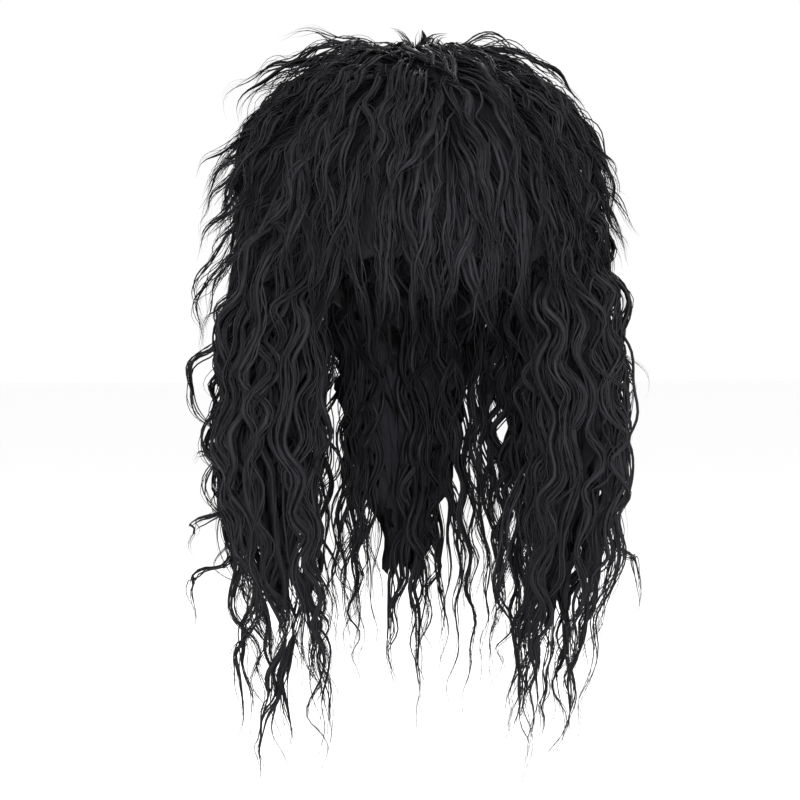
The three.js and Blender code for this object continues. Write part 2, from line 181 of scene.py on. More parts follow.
def side_section(drop, side):
    """Middle and half sizes of the long hair beside the neck at a drop, on the left for side 1."""
    inner, outer, front, back = read(SIDE_HANK, drop)
    x = side * HAIR_WIDTH * (inner + outer) / 2
    y = SET_BACK + (HAIR_BACK * back - HAIR_FRONT * front) / 2
    return x, y, HAIR_WIDTH * (outer - inner) / 2, (HAIR_BACK * back + HAIR_FRONT * front) / 2


def back_section(drop):
    """The same for the long hair behind the neck."""
    width, near, far = read(BACK_HANK, drop)
    y = SET_BACK + HAIR_BACK * (near + far) / 2
    return 0 * width, y, HAIR_WIDTH * width, HAIR_BACK * (far - near) / 2


def corner_section(drop, side):
    """The same for the hair between the two, behind the shoulder."""
    across, behind = read(CORNER, drop)
    size = CORNER_SIZE + 0 * across
    return side * HAIR_WIDTH * across, SET_BACK + HAIR_BACK * behind, size, size


def hank_point(section_at, drop, angle, reach):
    """A point of a hank: reach 0 is its middle line and 1 its outside."""
    x, y, half_width, half_depth = section_at(drop)
    across = np.sign(np.cos(angle)) * np.abs(np.cos(angle)) ** HANK_SQUARENESS
    ahead = np.sign(np.sin(angle)) * np.abs(np.sin(angle)) ** HANK_SQUARENESS
    z = WIDEST - drop * HANG_LENGTH + 0 * reach
    return np.stack([x + half_width * across * reach, y + half_depth * ahead * reach, z], axis=-1)


# What a guide's mesh holds at each point, by the names that the strand tree reads
GUIDE_VALUES = ("side_way", "out_way", "spread", "run", "amount")


class Guides:
    """Lines that the strands of some rows of locks follow, with what goes with each of their points."""

    def __init__(self, lines, outward, rows, waves, phase, rng):
        along = np.linspace(0, 1, lines.shape[1])[None]
        liveliness = column(rows, "lively", 1)
        count = (len(lines), 1)
        ahead = unit(np.gradient(lines, axis=1))
        self.side = unit(np.cross(ahead, outward))
        self.out = unit(np.cross(self.side, ahead))
        step = np.linalg.norm(np.diff(lines, axis=1), axis=-1)
        self.run = np.concatenate([np.zeros(count), np.cumsum(step, axis=1)], axis=1)
        own_length = waves["length"] * rng.uniform(0.75, 1.3, count)
        turns = self.run / own_length * FULL
        start = phase[:, None]
        hurried = turns + start + 0.7 * np.sin(turns * 0.37 + rng.uniform(0, FULL, count))
        uneven = 1 + 0.35 * np.sin(turns * 0.29 + rng.uniform(0, FULL, count))
        swing = waves["swing"] * own_length / waves["length"] * rng.uniform(0.65, 1.2, count)
        grown = smooth(along * waves["grows"]) * swing * liveliness * uneven
        ripple = 0.15 * np.sin(hurried * 1.9 + rng.uniform(0, FULL, count))
        across = grown * (np.sin(hurried) + ripple)
        lift = grown * 0.65 * np.cos(hurried + rng.normal(0, 0.5, count)) * rng.choice([-1, 1], count)
        roam = smooth(along * 2) * waves["roam"] * liveliness
        across += roam * np.sin(turns * rng.uniform(0.2, 0.42, count) + rng.uniform(0, FULL, count))
        lift += 0.5 * roam * np.sin(turns * rng.uniform(0.2, 0.42, count) + rng.uniform(0, FULL, count))
        self.lines = lines + self.side * across[..., None] + self.out * lift[..., None]
        self.spread = lock_room(along, column(rows, "size") * MM)
        self.amounts = amounts_of(rows)

        # The side and out directions are turned to suit the line now that it waves
        ahead = unit(np.gradient(self.lines, axis=1))
        self.side = unit(np.cross(ahead, self.out))
        self.out = unit(np.cross(self.side, ahead))

    def mesh(self, kind):
        """The lines as a mesh of edges, which the strand tree reads for one kind of strand."""
        count, steps = self.run.shape
        data = bpy.data.meshes.new("guides")
        first = (np.arange(count)[:, None] * steps + np.arange(steps - 1)[None]).ravel()
        data.vertices.add(count * steps)
        data.vertices.foreach_set("co", self.lines.astype(np.float32).ravel())
        data.edges.add(len(first))
        data.edges.foreach_set("vertices", np.stack([first, first + 1], axis=1).ravel())
        amount = np.broadcast_to(self.amounts[:, kind, None], self.run.shape)
        for name, values in zip(GUIDE_VALUES, (self.side, self.out, self.spread, self.run, amount)):
            form, field = ("FLOAT_VECTOR", "vector") if values.ndim == 3 else ("FLOAT", "value")
            layer = data.attributes.new(name, form, "POINT")
            layer.data.foreach_set(field, values.astype(np.float32).ravel())
        return data


def lock_room(along, size):
    """How far a lock's strands lie from its middle: gathered at the root, drawn to a point at the tip."""
    return size * (0.5 + 0.5 * smooth(along * 4)) * (1 - 0.86 * smooth((along - 0.4) / 0.6))


def named(names, values):
    """A row of a table by the names of its columns. The last ones may be left out."""
    return dict(zip(names, values))


def column(rows, name, default=0):
    """A value of each row, once for each of its locks, as a column."""
    return np.concatenate([np.full(row["locks"], row.get(name, default), float) for row in rows])[:, None]


def amounts_of(rows):
    """How many strands of each kind each lock has."""
    return np.concatenate([np.tile(row["strands"], (row["locks"], 1)) for row in rows]).astype(float)


def short_guides(rows, turns, rng):
    """Guides of a short layer: rows of locks from their roots on the cap to their tips."""
    from_turn, to_turn = (math.radians(edge) for edge in turns)
    turn = [spread_evenly(row["locks"], from_turn, to_turn, rng, 0.7) for row in rows]
    turn = np.concatenate(turn)[:, None]
    count = turn.shape
    drift = np.radians(column(rows, "drift", 9)) * rng.normal(0, 1, count)
    root = np.maximum(column(rows, "root") + rng.uniform(-0.05, 0.05, count), 0.01)
    tip = column(rows, "tip") + rng.uniform(-0.14, 0.14, count)
    depth = column(rows, "depth") + rng.uniform(-0.08, 0.06, count)
    flick = column(rows, "flick") * MM * rng.uniform(0, 1, count) ** 1.5
    along = np.linspace(0, 1, SHORT_STEPS)[None]
    fall = mix(root, tip, along)
    lifted = mix(0.08, depth, smooth(along * 2.6))
    at_turn = turn + drift * along**1.3
    lines = hair_point(at_turn, fall, lifted)
    outward = unit(hair_point(at_turn, fall, lifted + 0.2) - lines)
    lines = lines + outward * (flick * smooth((along - 0.5) / 0.4))[..., None]
    phase = 4 * np.sin(2.3 * turn[:, 0]) + rng.uniform(-1.6, 1.6, len(turn))
    return Guides(lines, outward, rows, SHORT_WAVES, phase, rng)


def evenly_round(section_at, count, rng):
    """Angles that share out the way round a hank's section, which is flatter than a circle."""
    angle = np.linspace(0, FULL, 361)
    ring = hank_point(section_at, FULLEST_DROP + 0 * angle, angle, 1 + 0 * angle)
    way = np.concatenate([[0], np.cumsum(np.linalg.norm(np.diff(ring, axis=0), axis=1))])
    return np.interp(spread_evenly(count, 0, way[-1], rng, 0.9), way, angle)


def long_guides(section_at, rows, rng):
    """Guides of a hank of long hair: rings of locks, the outer ones cut shorter in layers."""
    angle = np.concatenate([evenly_round(section_at, row["locks"], rng) for row in rows])[:, None]
    count = angle.shape
    tip = column(rows, "first") + (column(rows, "last") - column(rows, "first")) * rng.uniform(0, 1, count)
    reach = column(rows, "reach") + rng.uniform(-0.08, 0.06, count)
    flick = column(rows, "flick") * MM * rng.uniform(0, 1, count) ** 1.3
    along = np.linspace(0, 1, LONG_STEPS)[None]
    drop = mix(ROOT_DROP, tip, along)
    swirl = angle + rng.normal(0, 0.22, count) * along
    out_to = reach * (0.3 + 0.7 * smooth(along * 4))
    lines = hank_point(section_at, drop, swirl, out_to)
    outward = lines - hank_point(section_at, drop, swirl, out_to * 0)
    outward[..., 2] = 0
    outward = unit(outward)
    end = np.clip((along * tip - tip + FLICK_LENGTH) / FLICK_LENGTH, 0, 1)
    lines = lines + outward * (flick * smooth(end * 1.1))[..., None]
    lines[..., 2] += 0.5 * flick * end**3
    phase = 2.2 * np.sin(angle[:, 0]) + rng.uniform(-1.6, 1.6, len(angle))
    return Guides(lines, outward, rows, LONG_WAVES, phase, rng)


def curve_through(points, steps):
    """A smooth line through some points, with evenly shared steps."""
    points = np.array([points[0], *points, points[-1]], float)
    at = np.linspace(0, len(points) - 3, steps)
    first = np.minimum(at.astype(int), len(points) - 4)
    t = (at - first)[:, None]
    a, b, c, d = (points[first + i] for i in range(4))
    return 0.5 * (2 * b + (c - a) * t + (2 * a - 5 * b + 4 * c - d) * t**2 + (3 * b - a - 3 * c + d) * t**3)


def stray_guides(strays, amounts, rng):
    """Guides of the separate locks that stand out from the outline."""
    lines = np.array([curve_through(points, STRAY_STEPS) for points in strays]) * MM
    outward = unit(lines - np.array((0, 0, WIDEST)))
    phase = rng.uniform(0, FULL, len(lines))
    rows = ({"locks": len(lines), "size": STRAY_SIZE, "strands": amounts},)
    return Guides(lines, outward, rows, STRAY_WAVES, phase, rng)


def set_inputs(tree, node, inputs):
    """Links or sets a node's inputs, named or numbered."""
    for key, value in inputs.items():
        if isinstance(value, bpy.types.NodeSocket):
            tree.links.new(value, node.inputs[key])
        else:
            node.inputs[key].default_value = value


def add_node(tree, kind, inputs=None, **settings):
    """A node with its settings and its inputs."""
    made = tree.nodes.new(kind)
    for name, value in settings.items():
        setattr(made, name, value)
    set_inputs(tree, made, inputs or {})
    return made


def result(tree, kind, inputs=None, **settings):
    """The first output of a new node."""
    return add_node(tree, kind, inputs, **settings).outputs[0]


def calc(tree, operation, *values):
    """The result of a Math node in a geometry or shader tree."""
    return result(tree, "ShaderNodeMath", dict(enumerate(values)), operation=operation)


def times(tree, one, other):
    return calc(tree, "MULTIPLY", one, other)


def plus(tree, one, other):
    return calc(tree, "ADD", one, other)


def eased(tree, value, low, high, to_low, to_high):
    """A value carried smoothly from one range to another."""
    inputs = {"Value": value, "From Min": low, "From Max": high, "To Min": to_low, "To Max": to_high}
    return result(tree, "ShaderNodeMapRange", inputs, interpolation_type="SMOOTHSTEP")


def scaled(tree, vector, by):
    return result(tree, "ShaderNodeVectorMath", {0: vector, "Scale": by}, operation="SCALE")


def add_vectors(tree, one, other):
    return result(tree, "ShaderNodeVectorMath", {0: one, 1: other}, operation="ADD")


def guide_value(tree, name, kind="FLOAT"):
    """The value that a guide holds under a name."""
    return result(tree, "GeometryNodeInputNamedAttribute", {"Name": name}, data_type=kind)


def random_parts(tree, seed):
    """Three numbers from 0 to 1 for each strand."""
    index = result(tree, "GeometryNodeInputIndex")
    return result(tree, "FunctionNodeRandomValue", {"ID": index, "Seed": seed}, data_type="FLOAT_VECTOR")


def capture(tree, geometry, domain, **fields):
    """Keeps fields as they are at this step. Returns the geometry and the kept fields by name."""
    made = tree.nodes.new("GeometryNodeCaptureAttribute")
    made.domain = domain
    kinds = {"VECTOR": "VECTOR", "VALUE": "FLOAT"}
    for name, field in fields.items():
        made.capture_items.new(kinds[field.type], name)
    tree.links.new(geometry, made.inputs["Geometry"])
    for name, field in fields.items():
        tree.links.new(field, made.inputs[name])
    return made.outputs["Geometry"], {name: made.outputs[name] for name in fields}


def strand_tree():
    """Sweeps tapering strands along each guide. Each is a flat three-sided tube with its ridge outwards."""
    tree = bpy.data.node_groups.new("hair strands", "GeometryNodeTree")
    sockets = {"Guides": "Geometry", **dict.fromkeys(STRANDS, "Float"), "Seed": "Int", "Material": "Material"}
    for name, kind in sockets.items():
        tree.interface.new_socket(name, in_out="INPUT", socket_type=f"NodeSocket{kind}")
    tree.interface.new_socket("Hair", in_out="OUTPUT", socket_type="NodeSocketGeometry")
    given = add_node(tree, "NodeGroupInput").outputs

    curves = result(tree, "GeometryNodeMeshToCurve", {"Mesh": given["Guides"]})
    copied = {"Geometry": curves, "Amount": guide_value(tree, "amount")}
    copies = result(tree, "GeometryNodeDuplicateElements", copied, domain="SPLINE")
    place = random_parts(tree, given["Seed"])
    look = random_parts(tree, plus(tree, given["Seed"], LOOK_SEED))
    copies, kept = capture(tree, copies, "CURVE", place=place, look=look)
    place = add_node(tree, "ShaderNodeSeparateXYZ", {0: kept["place"]}).outputs
    look = add_node(tree, "ShaderNodeSeparateXYZ", {0: kept["look"]}).outputs

    # Few strands stray far. Each turns round its lock as it goes and has a slight wave of its own.
    far_out = calc(tree, "POWER", place[2], 6)
    strayed = calc(tree, "MULTIPLY_ADD", far_out, given["Straying"], given["Gathered"])
    room = times(tree, guide_value(tree, "spread"), calc(tree, "SQRT", place[1]))
    room = times(tree, room, strayed)
    run = guide_value(tree, "run")
    twist = times(tree, run, TWIST)
    twist = times(tree, twist, calc(tree, "SUBTRACT", look[0], 0.5))
    angle = calc(tree, "MULTIPLY_ADD", place[0], FULL, twist)
    start = times(tree, look[0], FULL)
    wave = calc(tree, "DIVIDE", times(tree, run, FULL), given["Frizz length"])
    wave = plus(tree, wave, start)
    frizz = times(tree, given["Frizz"], eased(tree, run, 0, FRIZZ_GROWS, 0, 1))
    across = times(tree, room, calc(tree, "COSINE", angle))
    across = plus(tree, across, times(tree, frizz, calc(tree, "SINE", wave)))
    lift = times(tree, room, times(tree, calc(tree, "SINE", angle), 0.6))
    lift = plus(tree, lift, times(tree, frizz, calc(tree, "COSINE", times(tree, wave, 0.83))))
    sideways = guide_value(tree, "side_way", "FLOAT_VECTOR")
    outwards = guide_value(tree, "out_way", "FLOAT_VECTOR")
    offset = add_vectors(tree, scaled(tree, sideways, across), scaled(tree, outwards, lift))
    placed = result(tree, "GeometryNodeSetPosition", {"Geometry": copies, "Offset": offset})

    # Each strand has its own length, and faces outwards with a tilt
    lengths = {0: look[1], 2: given["Shortest"], 3: 1.0}
    end = result(tree, "ShaderNodeMix", lengths, data_type="FLOAT")
    cut = result(tree, "GeometryNodeTrimCurve", {"Curve": placed, "End": end}, mode="FACTOR")
    even = result(tree, "GeometryNodeResampleCurve", {"Curve": cut, "Length": given["Step"]}, mode="LENGTH")
    tilt = calc(tree, "SUBTRACT", times(tree, place[2], 2 * MOST_TILT), MOST_TILT)
    tilted = add_vectors(tree, outwards, scaled(tree, sideways, tilt))
    facing = result(tree, "GeometryNodeSetCurveNormal", {"Curve": even, "Normal": tilted}, mode="FREE")
    factor = add_node(tree, "GeometryNodeSplineParameter").outputs["Factor"]
    facing, lengthways = capture(tree, facing, "POINT", along=factor)

    ring = result(tree, "GeometryNodeCurvePrimitiveCircle", {"Resolution": 3, "Radius": 1.0}, mode="RADIUS")
    flat = result(tree, "ShaderNodeCombineXYZ", {0: given["Thickness"], 1: given["Width"], 2: 1.0})
    profile = result(tree, "GeometryNodeTransform", {"Geometry": ring, "Scale": flat})
    profile, sidelong = capture(tree, profile, "POINT", around=factor)

    root_end = eased(tree, factor, 0, 0.15, given["Root width"], 1)
    tip_end = eased(tree, factor, given["Tapers from"], 1, 1, 0.05)
    stout = calc(tree, "MULTIPLY_ADD", look[2], 0.8, 0.55)
    taper = times(tree, times(tree, root_end, tip_end), stout)
    swept = {"Curve": facing, "Profile Curve": profile, "Scale": taper, "Fill Caps": True}
    tubes = result(tree, "GeometryNodeCurveToMesh", swept)

    # The chart's x is a place inside the strip of one of the tones, and its y the share of the length
    strip = calc(tree, "FLOOR", times(tree, look[2], TONES - 1.001))
    aside = times(tree, place[1], 0.3)
    within = calc(tree, "MULTIPLY_ADD", sidelong["around"], given["Chart share"], aside)
    within = calc(tree, "MULTIPLY_ADD", within, 0.7, 0.02)
    tone = calc(tree, "DIVIDE", plus(tree, strip, within), TONES)
    chart = result(tree, "ShaderNodeCombineXYZ", {0: tone, 1: lengthways["along"]})
    stored = {"Geometry": tubes, "Name": "UVMap", "Value": chart}
    charted = result(tree, "GeometryNodeStoreNamedAttribute", stored, data_type="FLOAT2", domain="CORNER")
    rounded = result(tree, "GeometryNodeSetShadeSmooth", {"Geometry": charted})
    realized = result(tree, "GeometryNodeRealizeInstances", {"Geometry": rounded})
    dressed = result(tree, "GeometryNodeSetMaterial", {"Geometry": realized, "Material": given["Material"]})
    add_node(tree, "NodeGroupOutput", {0: dressed})
    return tree


def add_object(name, data):
    made = bpy.data.objects.new(name, data)
    bpy.context.collection.objects.link(made)
    return made


def strands(tree, guides, kind, seed, material, changes):
    """The mesh of strands of one kind that the tree makes along some guides."""
    carrier = add_object("guides", guides.mesh(kind))
    modifier = carrier.modifiers.new("strands", "NODES")
    modifier.node_group = tree
    ids = {item.name: item.identifier for item in tree.interface.items_tree if item.in_out == "INPUT"}
    sizes = {name: values[kind] for name, values in STRANDS.items()}
    for name, value in {**sizes, **changes, "Seed": seed, "Material": material}.items():
        modifier[ids[name]] = value
    evaluated = carrier.evaluated_get(bpy.context.evaluated_depsgraph_get())
    made = bpy.data.meshes.new_from_object(evaluated)
    bpy.data.objects.remove(carrier)
    for name in GUIDE_VALUES:
        if name in made.attributes:
            made.attributes.remove(made.attributes[name])
    return made


def loft_mesh(name, points, material):
    """A closed tube through loops of points. Its chart folds back and forth in the strip of the last tone."""
    loops, sides = points.shape[:2]
    data = bpy.data.meshes.new(name)
    work = bmesh.new()
    uv = work.loops.layers.uv.new("UVMap")
    rows = [[work.verts.new(point) for point in loop] for loop in points]
    for i in range(loops - 1):
        for j in range(sides):
            k = (j + 1) % sides
            face = work.faces.new((rows[i][j], rows[i][k], rows[i + 1][k], rows[i + 1][j]))
            face.smooth = True
            corners = ((j, i), (j + 1, i), (j + 1, i + 1), (j, i + 1))
            for loop, (across, along) in zip(face.loops, corners):
                loop[uv].uv = ((TONES - 0.95 + 0.8 * (across % 2)) / TONES, along / (loops - 1))
    for row in (rows[0], rows[-1]):
        middle = work.verts.new(sum((v.co for v in row), Vector()) / sides)
        for j in range(sides):
            work.faces.new((row[j], row[(j + 1) % sides], middle)).smooth = True
    bmesh.ops.recalc_face_normals(work, faces=work.faces)
    work.to_mesh(data)
    work.free()
    data.materials.append(material)
    return data


def join_meshes(name, parts, material):
    """One object from several meshes of one material."""
    work = bmesh.new()
    for part in parts:
        work.from_mesh(part)
        bpy.data.meshes.remove(part)
    data = bpy.data.meshes.new(name)
    work.to_mesh(data)
    work.free()
    data.materials.append(material)
    return add_object(name, data)


def ridges(columns, rng):
    """Uneven ridges down a core, so that it too looks combed: a height for each of its columns."""
    return np.where(np.arange(columns) % 2, 1, -1) * rng.uniform(0.3, 1, columns)[None]


def short_core(turns, top, bottom, depth, material, rng):
    """The dark mass under a short layer: a ridged slab on the cap, thin and rounded at its edges."""
    columns = 110
    share = np.linspace(0, 1, columns)[None]
    across = mix(math.radians(turns[0]), math.radians(turns[1]), share)
    beside = np.sqrt(np.clip(1 - np.abs(2 * share - 1) ** 6, 0.01, 1))
    at = np.linspace(0, 1, 24)[:, None]
    ragged = 0.07 * np.sin(across * 31) + 0.06 * np.sin(across * 73)
    reach = (bottom - top) * (0.55 + 0.45 * beside)
    fall = top + at * (reach + ragged)
    ripple = 0.05 * np.sin(across * 19 + 4 * np.sin(fall * 7)) + 0.07 * ridges(columns, rng)
    thick = (depth + ripple) * np.sqrt(np.clip(1 - np.abs(2 * at - 1) ** 3, 0.01, 1)) * beside
    turn = across + 0.03 * np.sin(fall * 16 + across * 5)
    outside = hair_point(turn, fall, 0.06 + thick)
    inside = hair_point(turn, fall, 0.05 + 0 * thick)[:, ::-5]
    return loft_mesh("core", np.concatenate([outside, inside], axis=1), material)


def crown_core(fall_end, depth, material, rng):
    """The same over the crown, closed at the whorl."""
    columns = 200
    turn = np.linspace(0, FULL, columns, endpoint=False)[None]
    down = np.linspace(0.01, fall_end, 16)[:, None]
    thin = 1 - smooth((down / fall_end - 0.5) * 2)
    ripple = 0.05 * np.sin(turn * 23 + 6 * down) + 0.1 * ridges(columns, rng)
    bend = turn + 0.08 * np.sin(down * 22 + turn * 3)
    outside = hair_point(bend, down + 0 * turn, 0.1 + (depth + ripple) * thin)
    inside = hair_point(turn + 0 * down, down + 0 * turn, 0.05 + 0 * ripple)[::-5]
    return loft_mesh("core", np.concatenate([outside, inside]), material)


def long_core(section_at, end, material, rng):
    """The dark mass inside a hank: ridged, waving, and ragged at its lower end."""
    columns = 96
    angle = np.linspace(0, FULL, columns, endpoint=False)[None]
    share = np.linspace(0, 1, 40)[:, None]
    ends_at = end * (1 - 0.35 * rng.uniform(0, 1, (1, columns)) ** 2) * (0.9 + 0.1 * np.sin(angle * 5 + 1))
    drop = mix(CORE_TOP, ends_at, share)
    close = 1 - 0.75 * smooth((share - 0.5) / 0.5)
    wave = 0.08 * np.sin(angle * 17 + 3 * np.sin(drop * 23)) + 0.13 * ridges(columns, rng)
    bend = angle + 0.1 * np.sin(drop * 60 + angle * 3)
    points = hank_point(section_at, drop, bend, (CORE_REACH + wave) * close)
    points[..., 0] += 3 * MM * np.sin(drop * 55)
    return loft_mesh("core", points, material)


# Three kinds of strand. Broad ones fill a lock and carry fine streaks, the next part it into strands, and
# fine ones stray from it as single hairs. Each of these inputs of the strand tree has a value for each kind.
STRANDS = {
    "Width": (2.2 * MM, 0.85 * MM, 0.4 * MM),
    "Thickness": (0.5 * MM, 0.5 * MM, 0.3 * MM),
    "Step": (6.2 * MM, 5.8 * MM, 6.5 * MM),
    "Frizz": (0.7 * MM, 1.2 * MM, 2.2 * MM),
    "Frizz length": (45 * MM, 35 * MM, 29 * MM),
    "Straying": (0.1, 0.8, 2.4),
    "Gathered": (0.7, 0.95, 1.1),
    "Shortest": (0.82, 0.8, 0.6),
    "Root width": (0.5, 0.5, 0.5),
    "Tapers from": (0.55, 0.5, 0.4),
    "Chart share": (1.0, 0.35, 0.15),
}

# How far a strand turns round its lock, in radians a metre, how far it may tilt from facing outwards, and
# the length from its root over which its frizz grows
TWIST = 18
MOST_TILT = 0.8
FRIZZ_GROWS = 40 * MM

# How many points the guides of a short, a long and a separate lock have
SHORT_STEPS = 40
LONG_STEPS = 110
STRAY_STEPS = 50

# Drops at which the long locks start, their dark mass starts, and the locks are shared out evenly, and the
# length of a lock that flicks out at its tip
ROOT_DROP = -0.12
CORE_TOP = -0.1
FULLEST_DROP = 0.3
FLICK_LENGTH = 0.14

# How the locks wave: the length and swing of a wave, how soon it grows from the root, and how far the
# lock roams from its course
SHORT_WAVES = {"length": 36 * MM, "swing": 2.3 * MM, "grows": 2.5, "roam": 3 * MM}
LONG_WAVES = {"length": 49 * MM, "swing": 4.7 * MM, "grows": 4, "roam": 4.5 * MM}

# Rows of locks in each short layer. Root and tip are falls, and depth is how far out from the cap. Size is
# how far a lock's strands lie from its middle and flick how far its tip may turn out, in millimetres. Drift
# is how far a lock may stray sideways, in degrees, and lively how much more than usual it waves.
SHORT_ROW = ("locks", "root", "tip", "depth", "flick", "size", "lively", "drift")
SIDE_ROWS = (
    (9, 0.28, 0.85, 0.94, 22, 6),
    (10, 0.4, 1.05, 0.94, 28, 5.5, 1.2),
    (11, 0.54, 1.28, 0.92, 30, 5.5, 1.4),
    (12, 0.7, 1.52, 0.88, 28, 5.5, 1.5),
    (9, 0.86, 1.8, 0.8, 18, 5, 1.6),
)
SIDE_CORE = (0.4, 1.3, 0.5)


def side_layer(turns, core_turns, flick):
    """A side layer, with the tips of its locks turned out more or less."""
    at = SHORT_ROW.index("flick")
    rows = [(*row[:at], row[at] * flick, *row[at + 1:]) for row in SIDE_ROWS]
    return {"turns": turns, "core turns": core_turns, "core": SIDE_CORE, "strands": (5, 4, 3), "rows": rows}


# Each short layer: its turns from the face in degrees, the turns, falls and depth of the dark mass under it,
# how many strands of each kind a lock has, and its rows of locks. The top layer's mass starts at the whorl.
SHORT_PIECES = {
    "top_layer": {
        "turns": (0, 360),
        "core": (0.55, 0.42),
        "strands": (4, 4, 3),
        "rows": (
            (14, 0.01, 0.3, 0.92, 6, 5, 0.6, 16),
            (20, 0.06, 0.44, 0.92, 8, 6.5, 0.7),
            (26, 0.16, 0.6, 0.91, 12, 7, 0.9),
            (30, 0.28, 0.78, 0.88, 14, 6.5),
        ),
    },
    "fringe": {
        "turns": (-56, 56),
        "core turns": (-54, 54),
        "core": (0.35, 1.18, 0.24),
        "strands": (4, 5, 3),
        "rows": (
            (10, 0.26, 0.86, 0.94, 8, 6),
            (11, 0.38, 1.12, 0.9, 8, 6, 0.8),
            (12, 0.5, 1.36, 0.84, 6, 6, 0.8),
            (19, 0.6, 1.66, 0.74, 4, 7, 0.7),
            (23, 0.7, 1.74, 0.62, 0, 7.5, 0.6),
        ),
    },
    "side_layer_left": side_layer((40, 122), (46, 122), 0.65),
    "side_layer_right": side_layer((-122, -40), (-122, -46), 1.15),
    "back_layer": {
        "turns": (116, 244),
        "core": SIDE_CORE,
        "strands": (5, 4, 2),
        "rows": (
            (13, 0.28, 0.88, 0.94, 12, 7),
            (15, 0.42, 1.1, 0.93, 12, 7),
            (16, 0.56, 1.32, 0.9, 12, 7, 1.2),
            (16, 0.72, 1.55, 0.86, 12, 7, 1.4),
        ),
    },
}

# Rings of locks in each hank, from the outside in. Reach is how far out they lie, and their tips lie between
# first and last, as shares of the hang.
LONG_ROW = ("locks", "reach", "first", "last", "flick", "size", "strands", "lively")
LONG_ROWS = (
    (16, 0.93, 0.34, 0.94, 24, 3.8, (2, 5, 1), 1.4),
    (20, 0.84, 0.8, 1.05, 8, 7.4, (4, 6, 1), 0.85),
    (15, 0.56, 0.86, 1.04, 4, 8, (5, 0, 0), 0.7),
)

# The one ring of locks behind each shoulder
CORNER_LOCKS = (10, 0.8, 0.5, 0.96, 6, 7, (5, 3, 1))

